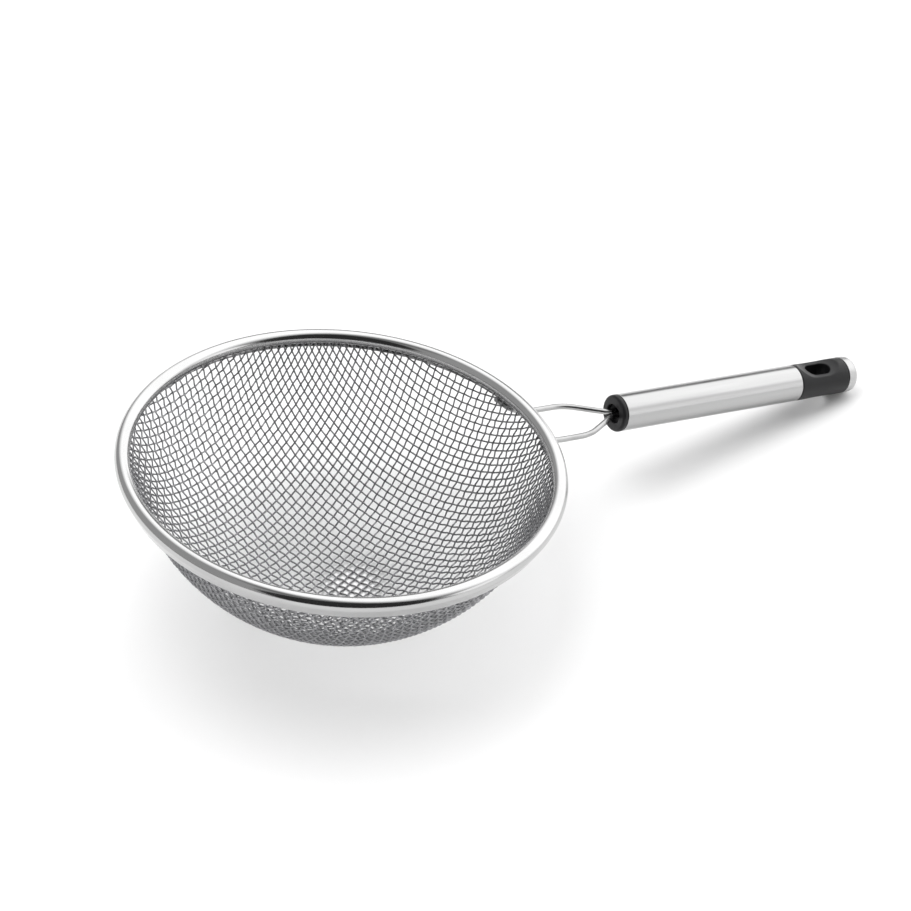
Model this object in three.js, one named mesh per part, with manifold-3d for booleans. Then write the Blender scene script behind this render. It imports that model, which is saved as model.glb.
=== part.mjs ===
// Long-handled mesh colander: a woven wire bowl in a rolled steel rim, carried on two neck wires
// that run into a steel tube handle with black plastic ends. Millimetres, +Z up.
// It lies as it does on a table: on the round of the bowl and on the lower edge of the handle's end.
import * as THREE from 'three';
import { mergeVertices } from 'three/addons/utils/BufferGeometryUtils.js';
import Module from 'manifold-3d';

const wasm = await Module();
wasm.setup();

// Driving dimensions of the bowl and its rim
const RIM_RADIUS = 102.5;          // to the outside of the rolled rim
const BOWL_DEPTH = 77.5;           // middle of the rim's roll to the underside of the bowl
const FLARE_ANGLE = 26;            // degrees that the bowl's upper wall leans out from upright
const CLOTH_THICKNESS = 1.6;       // two crossing wires of the cloth
const ROLL_RADIUS = 3.5;           // outside of the rim's roll
const BAND_WALL = 0.6;             // sheet that the rim is rolled from
const SKIRT_DROP = 6;              // how far the rim's skirt reaches below the middle of the roll
const CLOTH_INSET = 1.25;          // outer face of the cloth, inside the middle of the roll, at its foot
const CORE_WIRE_RADIUS = 1.3;      // hoop inside the roll
const CORE_WIRE_ANGLE = 60;        // degrees above level at which the hoop lies in the roll
const GRID_OPENINGS = 12;          // across the bowl: a coarse grid that stands for the fine cloth
const GRID_OPEN_SHARE = 0.78;      // of a cell's width that is open, as in the cloth
const GRID_WALL = 1;               // thickness of the grid's bars
const GRID_TURN = 45;              // degrees from the handle, so that the bowl rests alike on both sides
const GRID_EDGE = 0.15;            // plain edge of the cloth, outside the grid's bars
const REST_FLAT = 0.3;             // depth of the flat that the bowl rests on

// Driving dimensions of the neck
const NECK_WIRE_RADIUS = 1.4;
const NECK_HALF_SPREAD = 12.4;     // half the distance between the two wires at the rim
const NECK_RADIUS = 97.4;          // from the bowl's axis to the start of the handle's axis
const NECK_DROP = 9.9;             // of the start of the handle's axis, below the middle of the roll
const STEP_LENGTH = 12;            // in which the wires come down from the rim to the handle's plane
const STEP_BEND = 4;               // length that the bend at the foot of that step takes
const NECK_STRAIGHT = 31.5;        // to the bend where the wires start to close up
const NECK_LENGTH = 53.2;          // to the front of the ferrule
const NECK_BEND = 6;               // length that each bend takes from the wire on both sides of it
const TAIL_BEND = 4;               // the same at the last bend, which ends in the ferrule's pocket
const FOOT_LENGTH = 4;             // length of wire welded under the skirt's edge
const HANDLE_DROOP = 6.8;          // degrees that the handle leans down from the plane of the rim

// Driving dimensions of the handle
const TUBE_RADIUS = 9;
const TUBE_WALL = 0.7;
const TUBE_LENGTH = 107.6;
const FLANGE_LENGTH = 2.8;         // part of the ferrule in front of the tube
const FLANGE_ROUND = 1.3;
const POCKET_HALF_WIDTH = 5;       // oval hollow in the ferrule's front, where the wires go in
const POCKET_HALF_HEIGHT = 4.2;
const POCKET_DEPTH = 2.4;
const FERRULE_SPIGOT = 16;         // length of the ferrule inside the tube
const SLEEVE_LENGTH = 12;          // crimped sleeve on the wires, behind the ferrule
const SLEEVE_WALL = 1.2;
const WIRE_TAIL = 2;               // wire left behind the sleeve
const CAP_LENGTH = 30;             // part of the hanging cap behind the tube
const CAP_SPIGOT = 14;             // length of the hanging cap inside the tube
const FLAT_LENGTH = 24.5;          // flats above and below the hanging hole
const FLAT_START = 1.6;            // from the end of the tube to the flats
const FLAT_HALF_HEIGHT = 6.1;      // from the handle's axis to each flat
const FLAT_RAMP = 4;               // in which each end of a flat slopes up to the round
const HOLE_LENGTH = 14;
const HOLE_WIDTH = 8.5;
const HOLE_OFFSET = 0.6;           // middle of the hole, behind the middle of the flats
const END_LENGTH = 6.7;            // steel end behind the hanging cap
const END_ROUND = 3.5;
const END_SPIGOT = 5;              // length of the steel end inside the hanging cap
const END_SPIGOT_RADIUS = 4.6;

const CLEARANCE = 0.3;             // between pieces that touch or fit into each other
const RING_SEGMENTS = 72;          // round the bowl and the rim
const TUBE_SEGMENTS = 40;          // round the handle
const ROLL_STEPS = 16;             // round the outside of the rim's roll
const WIRE_STEPS = 44;             // along a neck wire
const HALF_ROUND_STEPS = 5;        // in half a turn of a small section
const EDGE_STEPS = 4;              // in a rounded edge

const radians = THREE.MathUtils.degToRad;
const flare = radians(FLARE_ANGLE);
const droop = radians(HANDLE_DROOP);

// Finishes
const finish = (color, roughness, metalness) => ({ color, roughness, metalness });
const POLISHED_STEEL = finish(0xc9cacc, 0.2, 1);
const BRUSHED_STEEL = finish(0xc4c5c7, 0.32, 1);
const WOVEN_STEEL = finish(0xb2b3b6, 0.45, 0.9);
const BLACK_PLASTIC = finish(0x1b1b1d, 0.5, 0);

function makePiece(name, geometry, look) {
  const piece = new THREE.Mesh(geometry, new THREE.MeshStandardMaterial(look));
  piece.name = name;
  return piece;
}

// A closed mesh as a solid that can be cut, and back
function toSolid(geometry) {
  const bare = geometry.clone();
  bare.deleteAttribute('normal');
  bare.deleteAttribute('uv');
  const merged = mergeVertices(bare, 1e-4);
  return new wasm.Manifold(new wasm.Mesh({
    numProp: 3,
    vertProperties: new Float32Array(merged.attributes.position.array),
    triVerts: new Uint32Array(merged.index.array),
  }));
}

function toGeometry(solid) {
  const mesh = solid.getMesh();
  const geometry = new THREE.BufferGeometry();
  geometry.setAttribute('position', new THREE.BufferAttribute(mesh.vertProperties, 3));
  geometry.setIndex(new THREE.BufferAttribute(mesh.triVerts, 1));
  geometry.computeVertexNormals();
  return geometry;
}

// A closed solid from four-cornered faces
function fromFaces(faces) {
  const corners = faces.flatMap(([a, b, c, d]) => [a, b, c, a, c, d]);
  return new THREE.BufferGeometry().setFromPoints(corners);
}

function cut(geometry, ...tools) {
  const solid = tools.reduce((rest, tool) => rest.subtract(toSolid(tool)), toSolid(geometry));
  return toGeometry(solid);
}

// Points of an arc about a middle, from one angle to another, in radians
function arc(middle, radius, from, to, steps) {
  return Array.from({ length: steps + 1 }, (_, i) => {
    const angle = from + (to - from) * i / steps;
    return new THREE.Vector2(middle.x + radius * Math.cos(angle), middle.y + radius * Math.sin(angle));
  });
}

// A profile of radius and height turned about Z, or about X for the handle's pieces
const turnAboutZ = (profile, segments) => new THREE.LatheGeometry(profile, segments).rotateX(Math.PI / 2);
const turnAboutX = (profile) => new THREE.LatheGeometry(profile, TUBE_SEGMENTS).rotateZ(-Math.PI / 2);

const closed = (profile) => [...profile, profile[0].clone()];

// An oval with straight sides: half its length along the first axis, half its width along the second
function ovalShape(halfLength, halfWidth) {
  const straight = halfLength - halfWidth;
  const shape = new THREE.Shape();
  shape.moveTo(-straight, -halfWidth);
  shape.lineTo(straight, -halfWidth);
  shape.absarc(straight, 0, halfWidth, -Math.PI / 2, Math.PI / 2, false);
  shape.lineTo(-straight, halfWidth);
  shape.absarc(-straight, 0, halfWidth, Math.PI / 2, Math.PI * 1.5, false);
  return shape;
}

const extrude = (shape, depth) =>
  new THREE.ExtrudeGeometry(shape, { depth, bevelEnabled: false, curveSegments: 2 * HALF_ROUND_STEPS });

// An oval bar along the handle, lying flat, from one station to another
function ovalAlongHandle(halfWidth, halfHeight, from, to) {
  const bar = extrude(ovalShape(halfWidth, halfHeight), to - from);
  return bar.rotateX(Math.PI / 2).rotateZ(Math.PI / 2).translate(from, 0, 0);
}

// The cloth's outer face in the rim: a straight flare that meets the bowl's round without a corner
const rollMiddle = new THREE.Vector2(RIM_RADIUS - ROLL_RADIUS, 0);
const mouth = new THREE.Vector2(rollMiddle.x - CLOTH_INSET, -ROLL_RADIUS);
const up = new THREE.Vector2(Math.sin(flare), Math.cos(flare));
const out = new THREE.Vector2(Math.cos(flare), -Math.sin(flare));
const bowlMiddle = (mouth.dot(out) - BOWL_DEPTH) / (1 - Math.sin(flare));
const bowlRadius = bowlMiddle + BOWL_DEPTH;

// A point of the flare, measured along it from the mouth and outwards from the cloth's outer face
const onFlare = (along, outwards) =>
  mouth.clone().addScaledVector(up, along).addScaledVector(out, outwards);

// The lower point where a line parallel to the flare crosses a circle about the roll's middle
function flareMeetsRoll(outwards, radius) {
  const offset = mouth.clone().sub(rollMiddle);
  const across = offset.dot(out) + outwards;
  const along = -offset.dot(up) - Math.sqrt(radius * radius - across * across);
  return onFlare(along, outwards);
}

const angleInRoll = (point) => Math.atan2(point.y - rollMiddle.y, point.x - rollMiddle.x);

// The hoop lies against the inside of the roll, and the cloth ends just short of it
const rollInside = ROLL_RADIUS - BAND_WALL;
const coreOffset = rollInside - CORE_WIRE_RADIUS - CLEARANCE;
const coreAngle = radians(CORE_WIRE_ANGLE);
const coreMiddle = rollMiddle.clone().add(
  new THREE.Vector2(Math.cos(coreAngle), Math.sin(coreAngle)).multiplyScalar(coreOffset));
const clothTuck = coreMiddle.clone().sub(mouth).dot(up) - CORE_WIRE_RADIUS - CLEARANCE;

// A point of the cloth in a direction from the bowl's middle: on the round, or higher up on the flare
function onCloth(direction, outwards) {
  const pastRound = Math.max(Math.acos(-direction.z) - (Math.PI / 2 - flare), 0);
  const point = direction.clone().multiplyScalar((bowlRadius + outwards) / Math.cos(pastRound));
  return point.setZ(point.z + bowlMiddle);
}

// Directions to the crossings in a quarter of a square cloth draped over the bowl's round:
// each crossing mirrors the one before it in the plane through its two neighbours
function drapedCrossings(count, angle) {
  const net = Array.from({ length: count + 1 }, () => []);
  for (let i = 0; i <= count; i += 1) {
    net[i][0] = new THREE.Vector3(Math.sin(i * angle), 0, -Math.cos(i * angle));
    net[0][i] = new THREE.Vector3(0, Math.sin(i * angle), -Math.cos(i * angle));
  }
  for (let i = 1; i <= count; i += 1) {
    for (let j = 1; j <= count; j += 1) {
      const mirror = net[i][j - 1].clone().cross(net[i - 1][j]).normalize();
      net[i][j] = net[i - 1][j - 1].clone().reflect(mirror);
    }
  }
  return net;
}

// The grid's cells that lie at least partly below the rim's skirt, each as its four corners
const skirtAlong = (-SKIRT_DROP - mouth.y) / up.y;
const skirtPoint = onFlare(skirtAlong, 0);
const gridReach = Math.atan2(skirtPoint.x, bowlMiddle - skirtPoint.y);

function gridCells() {
  const count = GRID_OPENINGS / 2 + 1;
  const net = drapedCrossings(count, 2 * gridReach / GRID_OPENINGS);
  const crossing = (i, j) => {
    const point = net[Math.abs(i)][Math.abs(j)];
    return new THREE.Vector3(point.x * Math.sign(i), point.y * Math.sign(j), point.z);
  };
  const cells = new Map();
  for (let i = -count; i < count; i += 1) {
    for (let j = -count; j < count; j += 1) {
      const corners = [crossing(i, j), crossing(i + 1, j), crossing(i + 1, j + 1), crossing(i, j + 1)];
      const reached = corners.some((corner) => -corner.z > Math.cos(gridReach));
      if (reached) cells.set(`${i},${j}`, { i, j, corners });
    }
  }
  return cells;
}

// The points round a cell, two to a side, drawn in towards its middle by a share
function roundCell(corners, share) {
  const steps = [[-1, -1], [0, -1], [1, -1], [1, 0], [1, 1], [0, 1], [-1, 1], [-1, 0]];
  return steps.map(([right, ahead]) => {
    const s = (1 + share * right) / 2;
    const t = (1 + share * ahead) / 2;
    const near = corners[0].clone().lerp(corners[1], s);
    return near.lerp(corners[3].clone().lerp(corners[2], s), t).normalize();
  });
}

// The grid is the frames of all cells, closed by a wall along every side that has no neighbour
function clothGrid() {
  const cells = gridCells();
  const faces = [];
  cells.forEach(({ i, j, corners }) => {
    const neighbours = [[i, j - 1], [i + 1, j], [i, j + 1], [i - 1, j]];
    const frame = roundCell(corners, 1);
    const opening = roundCell(corners, GRID_OPEN_SHARE);
    const [frameOut, openingOut] = [frame, opening].map((ring) => ring.map((way) => onCloth(way, 0)));
    const [frameIn, openingIn] = [frame, opening].map((ring) => ring.map((way) => onCloth(way, -GRID_WALL)));
    frame.forEach((_, k) => {
      const next = (k + 1) % frame.length;
      faces.push([frameIn[k], frameIn[next], openingIn[next], openingIn[k]]);
      faces.push([frameOut[k], openingOut[k], openingOut[next], frameOut[next]]);
      faces.push([openingIn[k], openingIn[next], openingOut[next], openingOut[k]]);
      if (!cells.has(neighbours[Math.floor(k / 2)].join())) {
        faces.push([frameIn[k], frameOut[k], frameOut[next], frameIn[next]]);
      }
    });
  });
  return fromFaces(faces).rotateZ(radians(GRID_TURN));
}

// The grid ends in a plain edge that is held in the rim
function meshBowl() {
  const edge = turnAboutZ(closed([
    onFlare(skirtAlong, GRID_EDGE),
    onFlare(clothTuck, GRID_EDGE),
    onFlare(clothTuck, -CLOTH_THICKNESS),
    onFlare(skirtAlong, -CLOTH_THICKNESS),
  ]), RING_SEGMENTS);
  const above = new THREE.BoxGeometry(4 * RIM_RADIUS, 4 * RIM_RADIUS, 2 * RIM_RADIUS);
  above.translate(0, 0, mouth.y + RIM_RADIUS);
  const floor = new THREE.BoxGeometry(2 * RIM_RADIUS, 2 * RIM_RADIUS, RIM_RADIUS);
  floor.translate(0, 0, -restHeight - RIM_RADIUS / 2).rotateY(-tilt).translate(0, 0, bowlMiddle);
  const grid = toSolid(clothGrid()).subtract(toSolid(above)).subtract(toSolid(floor));
  const bowl = grid.add(toSolid(edge));
  return makePiece('mesh_bowl', toGeometry(bowl), WOVEN_STEEL);
}

// The rim is one strip: a lip inside the bowl, a roll over the hoop, and a skirt straight down from it
function skirtFoot(rollRadius) {
  const along = (rollRadius * out.y + SKIRT_DROP) / up.y;
  return rollMiddle.clone().addScaledVector(out, rollRadius).addScaledVector(up, -along);
}

function rimBand() {
  const lip = angleInRoll(flareMeetsRoll(-CLOTH_THICKNESS - CLEARANCE, rollInside)) + 2 * Math.PI;
  const profile = [
    skirtFoot(rollInside),
    skirtFoot(ROLL_RADIUS),
    ...arc(rollMiddle, ROLL_RADIUS, -flare, lip, ROLL_STEPS),
    ...arc(rollMiddle, rollInside, lip, -flare, ROLL_STEPS / 2),
  ];
  return makePiece('rim_band', turnAboutZ(closed(profile), RING_SEGMENTS), POLISHED_STEEL);
}

function rimCoreWire() {
  const section = arc(coreMiddle, CORE_WIRE_RADIUS, 0, 2 * Math.PI, 2 * HALF_ROUND_STEPS);
  return makePiece('rim_core_wire', turnAboutZ(closed(section.slice(0, -1)), RING_SEGMENTS), BRUSHED_STEEL);
}

// Stations along the handle, from the start of its axis
const ferruleFront = NECK_LENGTH;
const tubeFront = ferruleFront + FLANGE_LENGTH;
const tubeEnd = tubeFront + TUBE_LENGTH;
const ferruleBack = tubeFront + FERRULE_SPIGOT;
const sleeveFront = ferruleBack + CLEARANCE;
const wireEnd = sleeveFront + SLEEVE_LENGTH + WIRE_TAIL;
const capEnd = tubeEnd + CAP_LENGTH;
const handleEnd = capEnd + END_LENGTH;

// In the tube the two wires lie side by side
const tailSpread = NECK_WIRE_RADIUS + CLEARANCE;
const wireRoom = NECK_WIRE_RADIUS + CLEARANCE;
const spigotRadius = TUBE_RADIUS - TUBE_WALL - CLEARANCE;

// The handle's place on the bowl: +X along the handle, +Y to its left
const handle = new THREE.Group();
handle.position.set(NECK_RADIUS, 0, -NECK_DROP);
handle.rotation.y = droop;
handle.updateMatrix();
const fromBowl = handle.matrix.clone().invert();

// A point of the weld, at an angle round the bowl: the wire lies level under the skirt's edge
const footRadius = (skirtFoot(rollInside).x + skirtFoot(ROLL_RADIUS).x) / 2;
const footDrop = SKIRT_DROP + CLEARANCE + NECK_WIRE_RADIUS;

function underSkirt(angle) {
  const point = new THREE.Vector3(footRadius * Math.cos(angle), footRadius * Math.sin(angle), -footDrop);
  return point.applyMatrix4(fromBowl);
}

// Adds straights through the points to a path, with a bend of the given length at each inner point
function addBentRun(path, points, bends) {
  let from = points[0];
  bends.forEach((bend, i) => {
    const [last, corner, next] = points.slice(i, i + 3);
    const before = last.clone().sub(corner).setLength(bend).add(corner);
    const after = next.clone().sub(corner).setLength(bend).add(corner);
    path.add(new THREE.LineCurve3(from, before));
    path.add(new THREE.QuadraticBezierCurve3(before, corner, after));
    from = after;
  });
  path.add(new THREE.LineCurve3(from, points.at(-1)));
}

function neckWire(name, side) {
  const corner = Math.asin(NECK_HALF_SPREAD / footRadius);
  const bendStart = corner + NECK_BEND / footRadius;
  const footEnd = bendStart + FOOT_LENGTH / footRadius;
  const foot = [0, 0.25, 0.5, 0.75, 1].map((share) => underSkirt(footEnd + (bendStart - footEnd) * share));
  const cornerPoint = underSkirt(corner);
  const landing = new THREE.Vector3(STEP_LENGTH, NECK_HALF_SPREAD, 0);
  const leave = landing.clone().sub(cornerPoint).setLength(NECK_BEND).add(cornerPoint);
  const route = [
    leave,
    landing,
    new THREE.Vector3(NECK_STRAIGHT, NECK_HALF_SPREAD, 0),
    new THREE.Vector3(ferruleFront + POCKET_DEPTH - TAIL_BEND, tailSpread, 0),
    new THREE.Vector3(wireEnd, tailSpread, 0),
  ];
  const sided = (point) => point.setY(point.y * side);
  [...foot, cornerPoint, ...route].forEach(sided);
  const path = new THREE.CurvePath();
  path.add(new THREE.CatmullRomCurve3(foot));
  path.add(new THREE.QuadraticBezierCurve3(foot.at(-1), cornerPoint, leave));
  addBentRun(path, route, [STEP_BEND, NECK_BEND, TAIL_BEND]);
  const section = new THREE.Shape().absarc(0, 0, NECK_WIRE_RADIUS, 0, 2 * Math.PI, false);
  const wire = new THREE.ExtrudeGeometry(section, {
    steps: WIRE_STEPS, curveSegments: HALF_ROUND_STEPS, bevelEnabled: false, extrudePath: path,
  });
  return makePiece(name, wire, BRUSHED_STEEL);
}

function frontFerrule() {
  const roundMiddle = new THREE.Vector2(TUBE_RADIUS - FLANGE_ROUND, ferruleFront + FLANGE_ROUND);
  const body = turnAboutX([
    new THREE.Vector2(0, ferruleFront),
    ...arc(roundMiddle, FLANGE_ROUND, -Math.PI / 2, 0, EDGE_STEPS),
    new THREE.Vector2(TUBE_RADIUS, tubeFront - CLEARANCE),
    new THREE.Vector2(spigotRadius, tubeFront - CLEARANCE),
    new THREE.Vector2(spigotRadius, ferruleBack),
    new THREE.Vector2(0, ferruleBack),
  ]);
  const pocketEnds = [ferruleFront - POCKET_DEPTH, ferruleFront + POCKET_DEPTH];
  const pocket = ovalAlongHandle(POCKET_HALF_WIDTH, POCKET_HALF_HEIGHT, ...pocketEnds);
  const slot = ovalAlongHandle(tailSpread + wireRoom, wireRoom, ferruleFront, ferruleBack + POCKET_DEPTH);
  return makePiece('front_ferrule', cut(body, pocket, slot), BLACK_PLASTIC);
}

function wireCrimpSleeve() {
  const sleeveEnd = sleeveFront + SLEEVE_LENGTH;
  const outside = wireRoom + SLEEVE_WALL;
  const body = ovalAlongHandle(tailSpread + outside, outside, sleeveFront, sleeveEnd);
  const bore = ovalAlongHandle(tailSpread + wireRoom, wireRoom, ferruleBack, sleeveEnd + WIRE_TAIL);
  return makePiece('wire_crimp_sleeve', cut(body, bore), BRUSHED_STEEL);
}

function handleTube() {
  const inside = TUBE_RADIUS - TUBE_WALL;
  const profile = [
    new THREE.Vector2(inside, tubeFront),
    new THREE.Vector2(TUBE_RADIUS, tubeFront),
    new THREE.Vector2(TUBE_RADIUS, tubeEnd),
    new THREE.Vector2(inside, tubeEnd),
  ];
  return makePiece('handle_tube', turnAboutX(closed(profile)), BRUSHED_STEEL);
}

// What is cut off for a flat: its floor is level, and its ends slope through the cap's round
function flatCutter(middle, side) {
  const low = FLAT_LENGTH / 2 - FLAT_RAMP;
  const high = FLAT_LENGTH / 2 + FLAT_RAMP;
  const top = 2 * TUBE_RADIUS - FLAT_HALF_HEIGHT;
  const shape = new THREE.Shape([
    new THREE.Vector2(-low, FLAT_HALF_HEIGHT),
    new THREE.Vector2(low, FLAT_HALF_HEIGHT),
    new THREE.Vector2(high, top),
    new THREE.Vector2(-high, top),
  ]);
  const block = extrude(shape, 4 * TUBE_RADIUS).translate(middle, 0, -2 * TUBE_RADIUS);
  return block.rotateX(side * Math.PI / 2);
}

function hangingCap() {
  const boreFront = capEnd - END_SPIGOT - CLEARANCE;
  const boreRadius = END_SPIGOT_RADIUS + CLEARANCE;
  const body = turnAboutX([
    new THREE.Vector2(0, tubeEnd - CAP_SPIGOT),
    new THREE.Vector2(spigotRadius, tubeEnd - CAP_SPIGOT),
    new THREE.Vector2(spigotRadius, tubeEnd + CLEARANCE),
    new THREE.Vector2(TUBE_RADIUS, tubeEnd + CLEARANCE),
    new THREE.Vector2(TUBE_RADIUS, capEnd),
    new THREE.Vector2(boreRadius, capEnd),
    new THREE.Vector2(boreRadius, boreFront),
    new THREE.Vector2(0, boreFront),
  ]);
  const flatMiddle = tubeEnd + FLAT_START + FLAT_LENGTH / 2;
  const flats = [1, -1].map((side) => flatCutter(flatMiddle, side));
  const hole = extrude(ovalShape(HOLE_LENGTH / 2, HOLE_WIDTH / 2), 2 * TUBE_RADIUS)
    .translate(flatMiddle + HOLE_OFFSET, 0, -TUBE_RADIUS);
  return makePiece('hanging_cap', cut(body, ...flats, hole), BLACK_PLASTIC);
}

function endCap() {
  const front = capEnd + CLEARANCE;
  const roundMiddle = new THREE.Vector2(TUBE_RADIUS - END_ROUND, handleEnd - END_ROUND);
  const profile = [
    new THREE.Vector2(0, capEnd - END_SPIGOT),
    new THREE.Vector2(END_SPIGOT_RADIUS, capEnd - END_SPIGOT),
    new THREE.Vector2(END_SPIGOT_RADIUS, front),
    new THREE.Vector2(TUBE_RADIUS, front),
    ...arc(roundMiddle, END_ROUND, 0, Math.PI / 2, EDGE_STEPS),
    new THREE.Vector2(0, handleEnd),
  ];
  return makePiece('end_cap', turnAboutX(profile), BRUSHED_STEEL);
}

handle.add(
  neckWire('neck_wire_left', 1),
  neckWire('neck_wire_right', -1),
  frontFerrule(),
  wireCrimpSleeve(),
  handleTube(),
  hangingCap(),
  endCap(),
);

// The tilt that lets the bowl's flat and the rounded lower edge of the handle's end touch one floor
const restHeight = bowlRadius - REST_FLAT;
const endRound = new THREE.Vector3(handleEnd - END_ROUND, 0, END_ROUND - TUBE_RADIUS);
endRound.applyAxisAngle(new THREE.Vector3(0, 1, 0), droop).add(handle.position);
const reach = Math.hypot(endRound.x, bowlMiddle - endRound.z);
const tilt = Math.asin((restHeight - END_ROUND) / reach) - Math.atan2(bowlMiddle - endRound.z, endRound.x);

const lying = new THREE.Group();
lying.rotation.y = tilt;
lying.add(meshBowl(), rimBand(), rimCoreWire(), handle);

// The origin is on the floor, under the middle of the whole colander
const colander = new THREE.Group();
colander.add(lying);
colander.updateMatrixWorld(true);
const extent = new THREE.Box3().setFromObject(colander, true);
const middle = extent.getCenter(new THREE.Vector3());
lying.position.set(-middle.x, -middle.y, -extent.min.z);

export default colander;
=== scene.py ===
"""A long-handled mesh colander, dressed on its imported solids. Metres, +Z up."""
import math

import bmesh
import bpy
import numpy as np
from mathutils import Euler, Matrix, Vector


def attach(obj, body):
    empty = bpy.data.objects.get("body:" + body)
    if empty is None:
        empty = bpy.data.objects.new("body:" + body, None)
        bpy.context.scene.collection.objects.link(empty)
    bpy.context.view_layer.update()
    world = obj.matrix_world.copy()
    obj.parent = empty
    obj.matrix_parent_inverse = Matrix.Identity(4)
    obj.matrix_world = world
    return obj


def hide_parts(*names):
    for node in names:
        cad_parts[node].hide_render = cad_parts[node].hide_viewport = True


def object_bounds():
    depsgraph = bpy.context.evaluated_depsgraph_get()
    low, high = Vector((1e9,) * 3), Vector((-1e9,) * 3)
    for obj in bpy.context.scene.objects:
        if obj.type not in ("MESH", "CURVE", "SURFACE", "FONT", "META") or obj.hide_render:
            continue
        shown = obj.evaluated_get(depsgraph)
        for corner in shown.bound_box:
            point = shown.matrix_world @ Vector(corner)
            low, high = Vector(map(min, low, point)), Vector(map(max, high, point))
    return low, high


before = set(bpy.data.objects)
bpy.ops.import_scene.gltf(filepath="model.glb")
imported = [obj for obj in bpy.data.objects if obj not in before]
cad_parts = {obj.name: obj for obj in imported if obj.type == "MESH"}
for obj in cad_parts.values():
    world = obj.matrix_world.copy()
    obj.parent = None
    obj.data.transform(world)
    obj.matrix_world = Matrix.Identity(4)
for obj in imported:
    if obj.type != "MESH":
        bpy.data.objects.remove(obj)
CAD_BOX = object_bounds()

# Bowl and rim
RIM_RADIUS = 0.1025                # to the outside of the rolled rim
BOWL_DEPTH = 0.0775                # middle of the rim's roll to the underside of the bowl
FLARE = math.radians(26)           # lean of the bowl's upper wall
ROLL_RADIUS = 0.0035               # outside of the rim's roll
BAND_WALL = 0.0006                 # sheet that the rim is rolled from
SKIRT_DROP = 0.006                 # how far the rim's skirt reaches below the middle of the roll
CLOTH_INSET = 0.00125              # outer face of the cloth, inside the middle of the roll
CLOTH_TOP = -0.0006                # height in the roll where the cloth's wires end
REST_FLAT = 0.0003                 # depth of the flat that the bowl rests on

# Woven cloth
WIRE_DIAMETER = 0.0008
PITCH = 0.0037                     # from wire to wire
CLOTH_TURN = math.radians(24)      # of the wires' directions, from the handle
SPACING_NOISE = 0.00010            # how unevenly the wires lie
WIRE_SIDES = 8
STEPS_PER_PITCH = 4

# Neck wires
NECK_WIRE_RADIUS = 0.0014
NECK_HALF_SPREAD = 0.0124          # half the distance between the wires at the rim
NECK_RADIUS = 0.0974               # from the bowl's axis to the start of the handle's axis
NECK_DROP = 0.0099                 # of the start of the handle's axis, below the middle of the roll
STEP_LENGTH = 0.012                # in which the wires come down from the rim to the handle's plane
STEP_BEND = 0.004                  # length that the bend at the foot of that step takes
NECK_STRAIGHT = 0.0315             # to the bend where the wires close up
NECK_LENGTH = 0.0532               # to the front of the ferrule
NECK_BEND = 0.006                  # length that each bend takes on both sides of it
TAIL_BEND = 0.004                  # the same at the bend in the ferrule
FOOT_LENGTH = 0.004                # length of wire welded under the skirt's edge
DROOP = math.radians(6.8)          # of the handle, from the plane of the rim

# Handle
TUBE_RADIUS = 0.009
TUBE_WALL = 0.0007
TUBE_LENGTH = 0.1076
FLANGE_LENGTH = 0.0028             # part of the ferrule in front of the tube
FLANGE_ROUND = 0.0013
POCKET_HALF_WIDTH = 0.005          # hollow in the ferrule's front, where the wires go in
POCKET_HALF_HEIGHT = 0.0042
POCKET_DEPTH = 0.0024
FERRULE_SPIGOT = 0.016             # length of the ferrule inside the tube
WIRE_END = 0.0303                  # wire behind the front of the tube
CAP_LENGTH = 0.030                 # part of the hanging cap behind the tube
CAP_SPIGOT = 0.014                 # length of the hanging cap inside the tube
FLAT_START = 0.0016                # from the end of the tube to the cap's flats
FLAT_LENGTH = 0.0245
FLAT_HALF_HEIGHT = 0.0061          # from the handle's axis to each flat
FLAT_RAMP = 0.009                  # in which each end of a flat curves up to the round
FLAT_OVERCUT = 1.3                 # how far that curve is cut, as a share of its length
HOLE_LENGTH = 0.014
HOLE_WIDTH = 0.0085
HOLE_OFFSET = 0.0006               # middle of the hole, behind the middle of the flats
END_LENGTH = 0.0067                # steel end behind the hanging cap
END_ROUND = 0.0035
END_SPIGOT = 0.005                 # length of the steel end inside the hanging cap
END_SPIGOT_RADIUS = 0.0046
CLEARANCE = 0.0003                 # between pieces that fit into each other
EDGE_ROUND = 0.00025               # broken edge of the steel pieces

# Fineness of the meshes
RIM_SEGMENTS = 256
HANDLE_SEGMENTS = 96
NECK_SIDES = 24
ARC_STEPS = 6
BEND_STEPS = 14
SKIRT_STEPS = 4
ROLL_STEPS = 48
FLOOR_SEGMENTS = 128
MOULD_VOXEL = 0.00022
MOULD_SMOOTHING = 18
MOULD_SOFTENING = 0.5              # of each smoothing step
SHARP_ANGLE = math.radians(50)
MERGE_DISTANCE = 1e-7
TINY_RADIUS = 1e-12                # keeps the bowl's axis from a division by zero
DRAPE_ROUNDS = 8                   # in which a crossing is brought on to the bowl
MOST_CROSSINGS = 200               # along one wire, from the bowl's bottom
SPACING_SEED = 7

# Camera: the rim's middle lies at these tangents right of and below the picture's middle
IMAGE_PIXELS = 911
FOCAL_PIXELS = 3000
SENSOR_WIDTH = 36
CAMERA_ELEVATION = math.radians(40.683)
CAMERA_AZIMUTH = math.radians(30.979)
CAMERA_DISTANCE = 1.35272
RIM_RIGHT = -0.03764
RIM_BELOW = 0.00248

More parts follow.
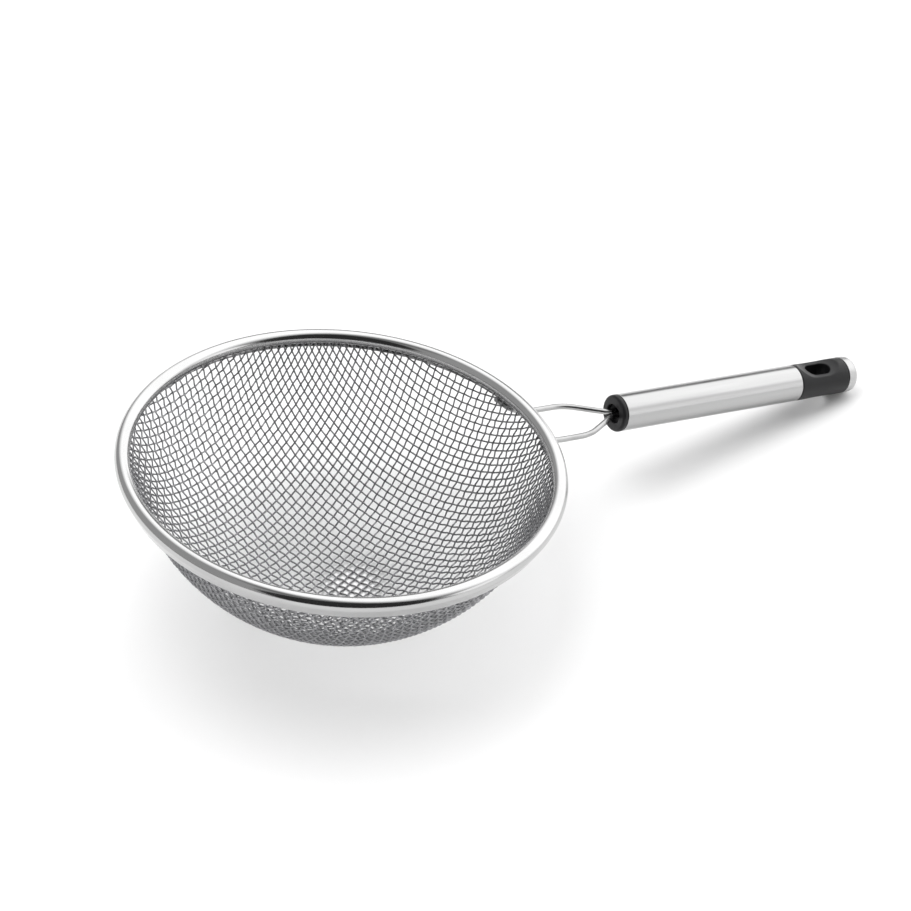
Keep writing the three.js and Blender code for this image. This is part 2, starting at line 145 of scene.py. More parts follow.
# Light: a softbox above on the left that casts the shadow, and a grey room with white panels on the
# right, a dark side towards the camera and a dim ceiling; its patches lie about a direction, in degrees
KEY_PLACE = (-0.75, 0.6, 2.8)
KEY_TARGET = (0, 0, 0.03)
KEY_SIZE = (2.0, 2.0)
KEY_POWER = 52
ROOM_LIGHT = 0.5
PANEL = {"light": 2.0, "azimuth": 20, "elevation": 33, "spread": 38, "edge": 25}
LOW_PANEL = {"light": 1.6, "azimuth": -50, "elevation": 10, "spread": 10, "edge": 8}
LOW_GAP = {"light": 0.3, "azimuth": 53, "elevation": 8, "spread": 12, "edge": 6}
DARK_SIDE = {"light": 0.04, "azimuth": 250, "elevation": 28, "spread": 37, "edge": 4}
CEILING = {"light": 0.25, "azimuth": 270, "elevation": 80, "spread": 15, "edge": 15}
FLOOR_RADIUS = 8.0
FLOOR_COLOUR = (0.84, 0.84, 0.84, 1)
FLOOR_GLOW = 0.05                  # keeps the floor white in the picture and in reflections

# Noise in the materials: its detail, and the middle range of it that is used
PATCH_DETAIL = 3
GRAIN_DETAIL = 2
NOISE_LOW = 0.3
NOISE_HIGH = 0.7


# Flat geometry of the rim: points of radius and height about the bowl's axis
roll_middle = np.array([RIM_RADIUS - ROLL_RADIUS, 0.0])
mouth = roll_middle - [CLOTH_INSET, ROLL_RADIUS]
flare_up = np.array([math.sin(FLARE), math.cos(FLARE)])
flare_out = np.array([math.cos(FLARE), -math.sin(FLARE)])
bowl_middle = (mouth @ flare_out - BOWL_DEPTH) / (1 - math.sin(FLARE))
bowl_radius = bowl_middle + BOWL_DEPTH
cloth_radius = bowl_radius - WIRE_DIAMETER

# The skirt runs straight down from the roll, in the middle of its sheet; the wires' feet lie under it
band_radius = ROLL_RADIUS - BAND_WALL / 2
skirt_top = roll_middle + band_radius * flare_out
skirt_foot = skirt_top - (skirt_top[1] + SKIRT_DROP) / flare_up[1] * flare_up
foot_height = -SKIRT_DROP - CLEARANCE - NECK_WIRE_RADIUS

# Stations along the handle, from the start of its axis
tube_front = NECK_LENGTH + FLANGE_LENGTH
tube_end = tube_front + TUBE_LENGTH
cap_end = tube_end + CAP_LENGTH
handle_end = cap_end + END_LENGTH
spigot_radius = TUBE_RADIUS - TUBE_WALL - CLEARANCE
tail_spread = NECK_WIRE_RADIUS + CLEARANCE

# The colander lies on the flat of its bowl and on the lower edge of the handle's end
rest_height = bowl_radius - REST_FLAT
to_handle = Matrix.Translation((NECK_RADIUS, 0, -NECK_DROP)) @ Matrix.Rotation(DROOP, 4, "Y")
end_round = to_handle @ Vector((handle_end - END_ROUND, 0, END_ROUND - TUBE_RADIUS))
reach = math.hypot(end_round.x, bowl_middle - end_round.z)
tilt = math.asin((rest_height - END_ROUND) / reach) - math.atan2(bowl_middle - end_round.z, end_round.x)
rim_middle = Vector((
    CAD_BOX[0].x + roll_middle[0] * math.cos(tilt) + ROLL_RADIUS,
    0,
    rest_height - bowl_middle * math.cos(tilt),
))
BOWL_PLACE = Matrix.Translation(rim_middle) @ Matrix.Rotation(tilt, 4, "Y")
HANDLE_PLACE = BOWL_PLACE @ to_handle


# Mesh helpers
def loft(rings, loop=False):
    """Quads between rings of points; the last ring joins the first where the loft is a loop."""
    rings = np.asarray(rings, float)
    count, sides = rings.shape[:2]
    index = np.arange(count * sides).reshape(count, sides)
    if loop:
        index = np.vstack([index, index[:1]])
    near, far = index[:-1], index[1:]
    quads = np.stack([near, np.roll(near, -1, 1), np.roll(far, -1, 1), far], -1).reshape(-1, 4)
    faces = quads.tolist()
    if not loop:
        faces += [index[0, ::-1].tolist(), index[-1].tolist()]
    return rings.reshape(-1, 3), faces


def round_corners(corners):
    """A closed outline from corners, each a point with its radius; a radius of 0 stays sharp."""
    points = []
    for i, (x, y, radius) in enumerate(corners):
        corner = np.array([x, y])
        if radius == 0:
            points.append(corner)
            continue
        before = np.array(corners[i - 1][:2]) - corner
        after = np.array(corners[(i + 1) % len(corners)][:2]) - corner
        before /= np.linalg.norm(before)
        after /= np.linalg.norm(after)
        half = math.acos(np.clip(before @ after, -1, 1)) / 2
        bisector = (before + after) / np.linalg.norm(before + after)
        middle = corner + bisector * radius / math.sin(half)
        first = before * radius / math.tan(half) + corner - middle
        last = after * radius / math.tan(half) + corner - middle
        swing = math.pi - 2 * half
        for step in range(ARC_STEPS + 1):
            share = step / ARC_STEPS
            mixed = math.sin((1 - share) * swing) * first + math.sin(share * swing) * last
            points.append(middle + mixed / math.sin(swing))
    return np.array(points)


def turned(outline, segments):
    """A closed outline of station and radius, turned about the handle's axis."""
    angles = np.arange(segments) * 2 * math.pi / segments
    stations = np.repeat(outline[:, :1], segments, 1)
    rings = np.stack([stations, outline[:, 1:] * np.cos(angles), outline[:, 1:] * np.sin(angles)], -1)
    return loft(rings, loop=True)


def swept(points, radius, sides):
    """A round wire along a path, with rounded ends."""
    points = np.asarray(points, float)
    tangents = np.gradient(points, axis=0)
    tangents /= np.linalg.norm(tangents, axis=1, keepdims=True)
    angles = np.arange(sides) * 2 * math.pi / sides
    across = np.cross(tangents[0], [0, 0, 1])
    rings = []
    last = len(points) - 1
    for i, (point, tangent) in enumerate(zip(points, tangents)):
        across = across - (across @ tangent) * tangent
        across /= np.linalg.norm(across)
        section = np.outer(np.cos(angles), across) + np.outer(np.sin(angles), np.cross(tangent, across))
        turns = np.arange(ARC_STEPS) / ARC_STEPS * math.pi / 2
        if i == 0:
            rings += [point - tangent * radius * math.cos(t) + section * radius * math.sin(t)
                      for t in turns[1:]]
        rings.append(point + radius * section)
        if i == last:
            rings += [point + tangent * radius * math.cos(t) + section * radius * math.sin(t)
                      for t in turns[:0:-1]]
    return loft(rings)


def make_object(name, geometry, place):
    """A smooth mesh, its place in its vertices, double points merged and faces turned outwards."""
    vertices, faces = geometry
    mesh = bpy.data.meshes.new(name)
    mesh.from_pydata(np.asarray(vertices).tolist(), [], faces)
    mesh.transform(place)
    shell = bmesh.new()
    shell.from_mesh(mesh)
    bmesh.ops.remove_doubles(shell, verts=shell.verts, dist=MERGE_DISTANCE)
    bmesh.ops.recalc_face_normals(shell, faces=shell.faces)
    shell.to_mesh(mesh)
    shell.free()
    mesh.shade_smooth()
    mesh.set_sharp_from_angle(angle=SHARP_ANGLE)
    piece = bpy.data.objects.new(name, mesh)
    bpy.context.scene.collection.objects.link(piece)
    return piece


def apply_modifiers(piece):
    depsgraph = bpy.context.evaluated_depsgraph_get()
    mesh = bpy.data.meshes.new_from_object(piece.evaluated_get(depsgraph))
    piece.modifiers.clear()
    piece.data = mesh


def dress(piece, node, material):
    """The piece stands for a node of the frame, and takes a finish."""
    piece.data.materials.clear()
    piece.data.materials.append(material)
    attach(piece, "root")
    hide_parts(node)
    return piece


def even_normals(piece):
    """Keeps flat faces flat beside rounded edges."""
    weighted = piece.modifiers.new("even_normals", "WEIGHTED_NORMAL")
    weighted.keep_sharp = True
    return piece


# Materials
def add_node(material, kind, **settings):
    node = material.node_tree.nodes.new(kind)
    for name, value in settings.items():
        if hasattr(node, name):
            setattr(node, name, value)
        else:
            node.inputs[name].default_value = value
    return node


def link(material, source, target):
    material.node_tree.links.new(source, target)


def noise(material, scale, detail, stretch=None):
    """Noise in the object's coordinates; stretch turns them along the handle and scales each axis."""
    coordinates = add_node(material, "ShaderNodeTexCoord").outputs["Object"]
    if stretch:
        turn = add_node(material, "ShaderNodeMapping")
        turn.inputs["Rotation"].default_value = (0, -(tilt + DROOP), 0)
        scaling = add_node(material, "ShaderNodeMapping")
        scaling.inputs["Scale"].default_value = stretch
        link(material, coordinates, turn.inputs["Vector"])
        link(material, turn.outputs["Vector"], scaling.inputs["Vector"])
        coordinates = scaling.outputs["Vector"]
    texture = add_node(material, "ShaderNodeTexNoise", Scale=scale, Detail=detail)
    link(material, coordinates, texture.inputs["Vector"])
    return texture.outputs["Fac"]


def ramp(material, factor, low, high):
    """The factor's middle range, spread from one number to another."""
    mapped = add_node(material, "ShaderNodeMapRange")
    mapped.inputs["From Min"].default_value = NOISE_LOW
    mapped.inputs["From Max"].default_value = NOISE_HIGH
    mapped.inputs["To Min"].default_value = low
    mapped.inputs["To Max"].default_value = high
    link(material, factor, mapped.inputs["Value"])
    return mapped.outputs["Result"]


def tint(material, factor, dark, light):
    colours = add_node(material, "ShaderNodeValToRGB")
    colours.color_ramp.elements[0].position = NOISE_LOW
    colours.color_ramp.elements[0].color = (*dark, 1)
    colours.color_ramp.elements[1].position = NOISE_HIGH
    colours.color_ramp.elements[1].color = (*light, 1)
    link(material, factor, colours.inputs["Fac"])
    return colours.outputs["Color"]


def bump(material, height, strength, distance):
    bumped = add_node(material, "ShaderNodeBump", Strength=strength, Distance=distance)
    link(material, height, bumped.inputs["Height"])
    return bumped.outputs["Normal"]


def finish(name, metallic, colours, roughness, patches, grain, gloss=0.5):
    """A finish whose colour varies in soft patches, over a fine grain of roughness and relief."""
    material = bpy.data.materials.new(name)
    material.use_nodes = True
    shader = material.node_tree.nodes["Principled BSDF"]
    shader.inputs["Metallic"].default_value = metallic
    shader.inputs["Specular IOR Level"].default_value = gloss
    soft = noise(material, patches["scale"], PATCH_DETAIL, patches.get("stretch"))
    fine = noise(material, grain["scale"], GRAIN_DETAIL, grain.get("stretch"))
    link(material, tint(material, soft, *colours), shader.inputs["Base Color"])
    link(material, ramp(material, fine, *roughness), shader.inputs["Roughness"])
    link(material, bump(material, fine, grain["strength"], grain["depth"]), shader.inputs["Normal"])
    return material


def grey(value, blue=0.0):
    return (value, value, value + blue)


WOVEN_STEEL = finish(
    "woven_steel", 1, (grey(0.26, 0.008), grey(0.33, 0.01)), (0.24, 0.36),
    patches={"scale": 160},
    grain={"scale": 2600, "strength": 0.08, "depth": 0.00004},
)
POLISHED_STEEL = finish(
    "polished_steel", 1, (grey(0.48), grey(0.53)), (0.10, 0.17),
    patches={"scale": 30},
    grain={"scale": 1500, "strength": 0.02, "depth": 0.00002},
)
WIRE_STEEL = finish(
    "wire_steel", 1, (grey(0.36), grey(0.44)), (0.16, 0.26),
    patches={"scale": 120},
    grain={"scale": 900, "strength": 0.04, "depth": 0.00003, "stretch": (0.06, 1, 1)},
)
TUBE_STEEL = finish(
    "tube_steel", 1, (grey(0.41), grey(0.46)), (0.16, 0.27),
    patches={"scale": 260, "stretch": (0.03, 1, 1)},
    grain={"scale": 2400, "strength": 0.05, "depth": 0.00003, "stretch": (0.015, 1, 1)},
)
END_STEEL = finish(
    "end_steel", 1, (grey(0.46), grey(0.52)), (0.28, 0.38),
    patches={"scale": 90},
    grain={"scale": 3200, "strength": 0.06, "depth": 0.00003},
)
BLACK_PLASTIC = finish(
    "black_plastic", 0, (grey(0.007, 0.001), grey(0.010, 0.001)), (0.30, 0.42),
    patches={"scale": 140},
    grain={"scale": 3600, "strength": 0.12, "depth": 0.00005},
    gloss=0.3,
)


# Woven bowl: wire cloth draped over the bowl, each crossing one pitch from its neighbours
def above_cloth(point):
    """Distance of a point outside the cloth's middle: a sphere below, a cone in the flare."""
    radius = math.hypot(point[0], point[1])
    height = point[2] - bowl_middle
    if math.atan2(height, radius) < -FLARE:
        return math.hypot(radius, height) - cloth_radius
    return radius * flare_out[0] + height * flare_out[1] - cloth_radius


def cloth_normals(points):
    points = np.asarray(points, float)
    radius = np.hypot(points[..., 0], points[..., 1]) + TINY_RADIUS
    height = points[..., 2] - bowl_middle
    lean = np.maximum(np.arctan2(height, radius), -math.pi / 2)
    lean = np.minimum(lean, -FLARE)
    flat = np.cos(lean) / radius
    return np.stack([points[..., 0] * flat, points[..., 1] * flat, np.sin(lean)], -1)


def meridian(length):
    """The point at an arc length from the bowl's bottom, in the plane of +X."""
    bend = cloth_radius * (math.pi / 2 - FLARE)
    turn = min(length, bend) / cloth_radius
    flare = max(length - bend, 0)
    across = cloth_radius * math.sin(turn) + flare * flare_up[0]
    height = bowl_middle - cloth_radius * math.cos(turn) + flare * flare_up[1]
    return np.array([across, 0, height])


def next_crossing(first, second, corner):
    """The crossing one pitch from two neighbours, on the far side from their shared corner."""
    middle = (first + second) / 2
    chord = first - second
    span = np.linalg.norm(chord)
    chord /= span
    height = math.sqrt(PITCH ** 2 - span ** 2 / 4)
    outward = cloth_normals(middle)
    outward -= (outward @ chord) * chord
    outward /= np.linalg.norm(outward)
    ahead = np.cross(chord, outward)
    ahead *= math.copysign(1, ahead @ (middle - corner))
    angle = 0.0
    for _ in range(DRAPE_ROUNDS):
        point = middle + height * (math.cos(angle) * ahead + math.sin(angle) * outward)
        angle -= above_cloth(point) / height
    return point


def quarter_cloth():
    """Crossings of one quarter of the cloth, up to one pitch past the wires' ends."""
    past_top = (i for i in range(MOST_CROSSINGS) if meridian(i * PITCH)[2] > CLOTH_TOP)
    reach = next(past_top) + 1
    crossings = {}
    for i in range(reach + 1):
        x, _, z = meridian(i * PITCH)
        crossings[i, 0] = np.array([x, 0, z])
        crossings[0, i] = np.array([0, x, z])
    for i in range(1, reach + 1):
        for j in range(1, reach + 1):
            near = [crossings.get(key) for key in ((i, j - 1), (i - 1, j), (i - 1, j - 1))]
            if any(point is None for point in near):
                break
            if max(near[0][2], near[1][2]) > CLOTH_TOP + PITCH:
                break
            crossings[i, j] = next_crossing(*near)
    return crossings


def whole_cloth():
    """Crossings of the whole cloth: the quarter, turned four times."""
    crossings = {}
    for (i, j), (x, y, z) in quarter_cloth().items():
        for _ in range(4):
            crossings[i, j] = np.array([x, y, z])
            i, j, x, y = -j, i, -y, x
    return crossings


def uneven(crossings):
    """Moves each wire a little sideways, as wires lie in real cloth."""
    chance = np.random.default_rng(SPACING_SEED)
    count = max(max(key) for key in crossings)
    shifts = chance.normal(0, SPACING_NOISE, (2, 2 * count + 1))
    moved = {}
    for (i, j), point in crossings.items():
        shift = np.zeros(3)
        for axis, (di, dj) in enumerate(((1, 0), (0, 1))):
            ahead = crossings.get((i + di, j + dj))
            back = crossings.get((i - di, j - dj))
            if ahead is None or back is None:
                continue
            along = (ahead - back) / np.linalg.norm(ahead - back)
            shift += along * shifts[axis, (i, j)[axis] + count]
        moved[i, j] = point + shift
    return moved


def smooth_run(points, steps):
    """A smooth line through points, with the share of the way at each of its own points."""
    padded = np.vstack([2 * points[0] - points[1], points, 2 * points[-1] - points[-2]])
    line, shares = [], []
    for k in range(len(points) - 1):
        before, start, end, after = padded[k:k + 4]
        for step in range(steps):
            t = step / steps
            line.append(0.5 * (2 * start + (end - before) * t
                               + (2 * before - 5 * start + 4 * end - after) * t ** 2
                               + (3 * start - before - 3 * end + after) * t ** 3))
            shares.append(k + t)
    return np.array(line), np.array(shares)


def wire_rings(points, parity):
    """Rings of one woven wire, which runs over and under the wires that it crosses."""
    line, shares = smooth_run(np.array(points), STEPS_PER_PITCH)
    normals = cloth_normals(line)
    lift = WIRE_DIAMETER / 2 * np.cos(math.pi * (shares + parity))
    line = line + lift[:, None] * normals
    line = line[line[:, 2] < CLOTH_TOP]
    normals = cloth_normals(line)
    tangents = np.gradient(line, axis=0)
    tangents /= np.linalg.norm(tangents, axis=1, keepdims=True)
    across = np.cross(tangents, normals)
    across /= np.linalg.norm(across, axis=1, keepdims=True)
    normals = np.cross(across, tangents)
    angles = np.arange(WIRE_SIDES) * 2 * math.pi / WIRE_SIDES
    section = normals[:, None] * np.cos(angles)[:, None] + across[:, None] * np.sin(angles)[:, None]
    return line[:, None] + WIRE_DIAMETER / 2 * section


def woven_bowl():
    crossings = uneven(whole_cloth())
    count = max(max(key) for key in crossings)
    vertices, faces, used = [], [], 0
    for direction in range(2):
        for wire in range(-count, count + 1):
            keys = [(wire, k) if direction == 0 else (k, wire) for k in range(-count, count + 1)]
            keys = [key for key in keys if key in crossings]
            if len(keys) < 3 or min(crossings[key][2] for key in keys) > CLOTH_TOP - PITCH / 2:
                continue
            parity = sum(keys[0]) + direction
            points, quads = loft(wire_rings([crossings[key] for key in keys], parity))
            vertices.append(points)
            faces += [[corner + used for corner in face] for face in quads]
            used += len(points)
    place = BOWL_PLACE @ Matrix.Rotation(CLOTH_TURN, 4, "Z")
    piece = make_object("woven_wire_bowl", (np.vstack(vertices), faces), place)
    for vertex in piece.data.vertices:
        vertex.co.z = max(vertex.co.z, 0)
    return dress(piece, "mesh_bowl", WOVEN_STEEL)


# Rim: one strip with a skirt down the outside and a roll that closes on the cloth inside the bowl
def rolled_rim():
    across = (mouth - roll_middle) @ flare_out - 2 * WIRE_DIAMETER - CLEARANCE - BAND_WALL / 2
    lip = across * flare_out - math.sqrt(band_radius ** 2 - across ** 2) * flare_up
    end = math.atan2(lip[1], lip[0]) + 2 * math.pi
    angles = np.linspace(-FLARE, end, ROLL_STEPS)
    arc = roll_middle + band_radius * np.stack([np.cos(angles), np.sin(angles)], -1)
    shares = np.arange(SKIRT_STEPS)[:, None] / SKIRT_STEPS
    skirt = skirt_foot + shares * (skirt_top - skirt_foot)
    line = np.vstack([skirt, arc])
    tangents = np.gradient(line, axis=0)
    tangents /= np.linalg.norm(tangents, axis=1, keepdims=True)
    sides = np.stack([tangents[:, 1], -tangents[:, 0]], -1) * BAND_WALL / 2
    turns = np.linspace(0, math.pi, ARC_STEPS + 1)[1:-1, None]
    top_round = line[-1] + np.cos(turns) * sides[-1] + np.sin(turns) * tangents[-1] * BAND_WALL / 2
    foot_round = line[0] - np.cos(turns) * sides[0] - np.sin(turns) * tangents[0] * BAND_WALL / 2
    outline = np.vstack([line + sides, top_round, (line - sides)[::-1], foot_round])
    angles = np.arange(RIM_SEGMENTS) * 2 * math.pi / RIM_SEGMENTS
    heights = np.repeat(outline[:, 1:], RIM_SEGMENTS, 1)
    rings = np.stack([outline[:, :1] * np.cos(angles), outline[:, :1] * np.sin(angles), heights], -1)
    piece = make_object("polished_rim_band", loft(rings, loop=True), BOWL_PLACE)
    return dress(piece, "rim_band", POLISHED_STEEL)


# Neck wires: welded under the skirt's edge, a step down, straight out, then together into the ferrule
def under_skirt(angle):
    """A point of the weld in the handle's frame, at an angle round the bowl."""
    point = Vector((skirt_foot[0] * math.cos(angle), skirt_foot[0] * math.sin(angle), foot_height))
    return np.array(to_handle.inverted() @ point)


def step_from(corner, towards, distance):
    return corner + (towards - corner) / np.linalg.norm(towards - corner) * distance


def bend_points(before, corner, after):
    shares = np.linspace(0, 1, BEND_STEPS + 1)[:, None]
    return (1 - shares) ** 2 * before + 2 * shares * (1 - shares) * corner + shares ** 2 * after


def bend_at(before, corner, after, length):
    """A bend that takes a length on both sides of its corner."""
    return bend_points(step_from(corner, before, length), corner, step_from(corner, after, length))


def neck_wire(name, side):
    corner = math.asin(NECK_HALF_SPREAD / skirt_foot[0])
    bend_start = corner + NECK_BEND / skirt_foot[0]
    foot_end = bend_start + FOOT_LENGTH / skirt_foot[0]
    foot = [under_skirt(angle) for angle in np.linspace(foot_end, bend_start, BEND_STEPS)]
    root = under_skirt(corner)
    landing = np.array([STEP_LENGTH, NECK_HALF_SPREAD, 0])
    shoulder = np.array([NECK_STRAIGHT, NECK_HALF_SPREAD, 0])
    throat = np.array([NECK_LENGTH + POCKET_DEPTH - TAIL_BEND, tail_spread, 0])
    tail = np.array([tube_front + WIRE_END, tail_spread, 0])
    path = np.vstack([
        foot[:-1],
        bend_points(foot[-1], root, step_from(root, landing, NECK_BEND)),
        bend_at(root, landing, shoulder, STEP_BEND),
        bend_at(landing, shoulder, throat, NECK_BEND),
        bend_at(shoulder, throat, tail, TAIL_BEND),
        tail,
    ])
    path[:, 1] *= side
    piece = make_object("bent_" + name, swept(path, NECK_WIRE_RADIUS, NECK_SIDES), HANDLE_PLACE)
    return dress(piece, name, WIRE_STEEL)


# Handle pieces, turned about the handle's axis
def handle_tube():
    inside = TUBE_RADIUS - TUBE_WALL
    outline = round_corners([
        (tube_front, inside, EDGE_ROUND),
        (tube_front, TUBE_RADIUS, EDGE_ROUND),
        (tube_end, TUBE_RADIUS, EDGE_ROUND),
        (tube_end, inside, EDGE_ROUND),
    ])
    piece = make_object("brushed_handle_tube", turned(outline, HANDLE_SEGMENTS), HANDLE_PLACE)
    return dress(even_normals(piece), "handle_tube", TUBE_STEEL)


def end_cap():
    outline = round_corners([
        (cap_end - END_SPIGOT, 0, 0),
        (cap_end - END_SPIGOT, END_SPIGOT_RADIUS, EDGE_ROUND),
        (cap_end + CLEARANCE, END_SPIGOT_RADIUS, 0),
        (cap_end + CLEARANCE, TUBE_RADIUS, EDGE_ROUND),
        (handle_end, TUBE_RADIUS, END_ROUND),
        (handle_end, 0, 0),
    ])
    piece = make_object("satin_end_cap", turned(outline, HANDLE_SEGMENTS), HANDLE_PLACE)
    return dress(even_normals(piece), "end_cap", END_STEEL)


# Moulded pieces: cut from turned bodies, then remeshed so that every edge is softly rounded
def oval(half_length, half_width, low, high):
    """An upright oval bar about the origin: length along X, width along Y."""
    angles = np.linspace(-math.pi / 2, math.pi / 2, HANDLE_SEGMENTS // 2)
    straight = half_length - half_width
    right = np.stack([straight + half_width * np.cos(angles), half_width * np.sin(angles)], -1)
    outline = np.vstack([right, -right])
    rings = [np.column_stack([outline, np.full(len(outline), height)]) for height in (low, high)]
    return loft(rings)


def flat_cutter(middle, side):
    """What is cut off for a flat: its floor is level, and its ends curve up through the cap's round."""
    shares = np.linspace(0, FLAT_OVERCUT, BEND_STEPS)
    along = FLAT_LENGTH / 2 - FLAT_RAMP + shares * FLAT_RAMP
    height = FLAT_HALF_HEIGHT + shares ** 2 * (TUBE_RADIUS - FLAT_HALF_HEIGHT)
    outline = [*zip(-along[::-1], height[::-1]), *zip(along, height)]
    sides = (-2 * TUBE_RADIUS, 2 * TUBE_RADIUS)
    return loft([[(middle + x, y, side * z) for x, z in outline] for y in sides])


def cut_away(piece, name, geometry, place):
    cutter = make_object(name, geometry, place)
    cut = piece.modifiers.new(name, "BOOLEAN")
    cut.operation = "DIFFERENCE"
    cut.solver = "EXACT"
    cut.object = cutter
    apply_modifiers(piece)
    bpy.data.objects.remove(cutter)


def mould(piece):
    """Remeshes a cut body and softens its edges."""
    remesh = piece.modifiers.new("remesh", "REMESH")
    remesh.mode = "VOXEL"
    remesh.voxel_size = MOULD_VOXEL
    remesh.use_smooth_shade = True
    soften = piece.modifiers.new("soften", "SMOOTH")
    soften.factor = MOULD_SOFTENING
    soften.iterations = MOULD_SMOOTHING
    apply_modifiers(piece)
    piece.data.transform(HANDLE_PLACE)
    return piece


def hanging_cap():
    bore_radius = END_SPIGOT_RADIUS + CLEARANCE
    bore_front = cap_end - END_SPIGOT - CLEARANCE
    outline = np.array([
        (tube_end - CAP_SPIGOT, 0),
        (tube_end - CAP_SPIGOT, spigot_radius),
        (tube_end + CLEARANCE, spigot_radius),
        (tube_end + CLEARANCE, TUBE_RADIUS),
        (cap_end, TUBE_RADIUS),
        (cap_end, bore_radius),
        (bore_front, bore_radius),
        (bore_front, 0),
    ])
    piece = make_object("moulded_hanging_cap", turned(outline, HANDLE_SEGMENTS), Matrix())
    flat_middle = tube_end + FLAT_START + FLAT_LENGTH / 2
    for side in (1, -1):
        cut_away(piece, "flat_cutter", flat_cutter(flat_middle, side), Matrix())
    hole = oval(HOLE_LENGTH / 2, HOLE_WIDTH / 2, -TUBE_RADIUS, TUBE_RADIUS)
    cut_away(piece, "hole_cutter", hole, Matrix.Translation((flat_middle + HOLE_OFFSET, 0, 0)))
    return dress(mould(piece), "hanging_cap", BLACK_PLASTIC)


def front_ferrule():
    back = tube_front + FERRULE_SPIGOT
    flange_back = tube_front - CLEARANCE
    outline = round_corners([
        (NECK_LENGTH, 0, 0),
        (NECK_LENGTH, TUBE_RADIUS, FLANGE_ROUND),
        (flange_back, TUBE_RADIUS, 0),
        (flange_back, spigot_radius, 0),
        (back, spigot_radius, 0),
        (back, 0, 0),
    ])
    piece = make_object("moulded_front_ferrule", turned(outline, HANDLE_SEGMENTS), Matrix())
    along = Matrix.Rotation(math.pi / 2, 4, "Z") @ Matrix.Rotation(math.pi / 2, 4, "X")
    pocket = oval(POCKET_HALF_WIDTH, POCKET_HALF_HEIGHT, -POCKET_DEPTH, POCKET_DEPTH)
    cut_away(piece, "pocket_cutter", pocket, Matrix.Translation((NECK_LENGTH, 0, 0)) @ along)
    room = NECK_WIRE_RADIUS + CLEARANCE
    slot = oval(tail_spread + room, room, 0, FERRULE_SPIGOT + 2 * FLANGE_LENGTH)
    cut_away(piece, "slot_cutter", slot, Matrix.Translation((NECK_LENGTH, 0, 0)) @ along)
    return dress(mould(piece), "front_ferrule", BLACK_PLASTIC)


# Stage
def pale_floor():
    material = bpy.data.materials.new("pale_floor")
    material.use_nodes = True
    nodes = material.node_tree.nodes
    nodes.clear()
    matte = add_node(material, "ShaderNodeBsdfDiffuse", Color=FLOOR_COLOUR)
    glow = add_node(material, "ShaderNodeEmission", Color=(1, 1, 1, 1))
    rays = add_node(material, "ShaderNodeLightPath")
    first = add_node(material, "ShaderNodeMath", operation="MAXIMUM")
    seen = add_node(material, "ShaderNodeMath", operation="MAXIMUM")
    strength = add_node(material, "ShaderNodeMath", operation="MULTIPLY")
    strength.inputs[1].default_value = FLOOR_GLOW
    both = add_node(material, "ShaderNodeAddShader")
    output = add_node(material, "ShaderNodeOutputMaterial")
    link(material, rays.outputs["Is Camera Ray"], first.inputs[0])
    link(material, rays.outputs["Is Glossy Ray"], first.inputs[1])
    link(material, first.outputs[0], seen.inputs[0])
    link(material, rays.outputs["Is Transmission Ray"], seen.inputs[1])
    link(material, seen.outputs[0], strength.inputs[0])
    link(material, strength.outputs[0], glow.inputs["Strength"])
    link(material, matte.outputs[0], both.inputs[0])
    link(material, glow.outputs[0], both.inputs[1])
    link(material, both.outputs[0], output.inputs["Surface"])
    bpy.ops.mesh.primitive_circle_add(vertices=FLOOR_SEGMENTS, radius=FLOOR_RADIUS, fill_type="NGON")
    floor = bpy.context.object
    floor.name = "pale_floor"
    floor.data.materials.append(material)


def softbox(name, location, target, size, power):
    lamp = bpy.data.lights.new(name, "AREA")
    lamp.shape = "RECTANGLE"
    lamp.size, lamp.size_y = size
    lamp.energy = power
    holder = bpy.data.objects.new(name, lamp)
    holder.visible_glossy = False
    holder.location = location
    holder.rotation_euler = (Vector(target) - Vector(location)).to_track_quat("-Z", "Y").to_euler()
    bpy.context.scene.collection.objects.link(holder)


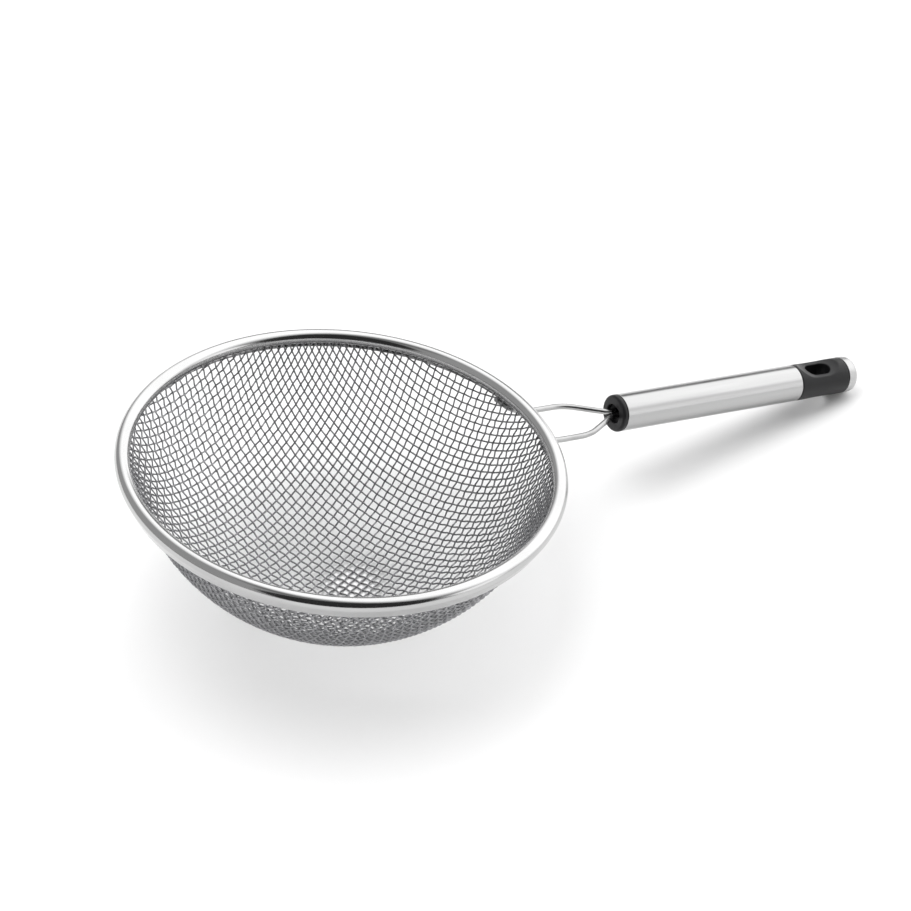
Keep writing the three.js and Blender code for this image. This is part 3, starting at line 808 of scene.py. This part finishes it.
def patch(world, way, azimuth, elevation, spread, edge):
    """1 near a direction and 0 away from it, with the change over an edge; angles in degrees."""
    azimuth, elevation = math.radians(azimuth), math.radians(elevation)
    near = add_node(world, "ShaderNodeVectorMath", operation="DOT_PRODUCT")
    near.inputs[1].default_value = (
        math.cos(elevation) * math.cos(azimuth),
        math.cos(elevation) * math.sin(azimuth),
        math.sin(elevation),
    )
    share = add_node(world, "ShaderNodeMapRange")
    share.inputs["From Min"].default_value = math.cos(math.radians(spread + edge))
    share.inputs["From Max"].default_value = math.cos(math.radians(spread))
    link(world, way, near.inputs[0])
    link(world, near.outputs["Value"], share.inputs["Value"])
    return share.outputs["Result"]


def studio_world():
    world = bpy.data.worlds.new("studio")
    bpy.context.scene.world = world
    world.use_nodes = True
    way = add_node(world, "ShaderNodeTexCoord").outputs["Generated"]
    light = add_node(world, "ShaderNodeValue").outputs["Value"]
    light.default_value = ROOM_LIGHT
    for area in (CEILING, PANEL, LOW_PANEL, LOW_GAP, DARK_SIDE):
        place = {name: value for name, value in area.items() if name != "light"}
        mix = add_node(world, "ShaderNodeMix")
        mix.inputs["B"].default_value = area["light"]
        link(world, patch(world, way, **place), mix.inputs["Factor"])
        link(world, light, mix.inputs["A"])
        light = mix.outputs["Result"]
    background = world.node_tree.nodes["Background"]
    background.inputs["Color"].default_value = (1, 1, 1, 1)
    link(world, light, background.inputs["Strength"])


def camera():
    data = bpy.data.cameras.new("camera")
    data.sensor_width = SENSOR_WIDTH
    data.lens = SENSOR_WIDTH * FOCAL_PIXELS / IMAGE_PIXELS
    holder = bpy.data.objects.new("camera", data)
    turn = Euler((math.pi / 2 - CAMERA_ELEVATION, 0, -CAMERA_AZIMUTH))
    holder.rotation_euler = turn
    to_rim = turn.to_matrix() @ Vector((RIM_RIGHT, -RIM_BELOW, -1))
    holder.location = rim_middle - to_rim * CAMERA_DISTANCE
    bpy.context.scene.collection.objects.link(holder)
    bpy.context.scene.camera = holder


camera()
pale_floor()
studio_world()
softbox("top_softbox", KEY_PLACE, KEY_TARGET, KEY_SIZE, KEY_POWER)

woven_bowl()
rolled_rim()
neck_wire("neck_wire_left", 1)
neck_wire("neck_wire_right", -1)
front_ferrule()
handle_tube()
hanging_cap()
end_cap()

# The hoop in the roll and the crimped sleeve in the tube stay as they are
for name in ("rim_core_wire", "wire_crimp_sleeve"):
    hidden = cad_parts[name]
    hidden.data.materials.clear()
    hidden.data.materials.append(WIRE_STEEL)

bpy.context.scene.view_settings.view_transform = "Standard"
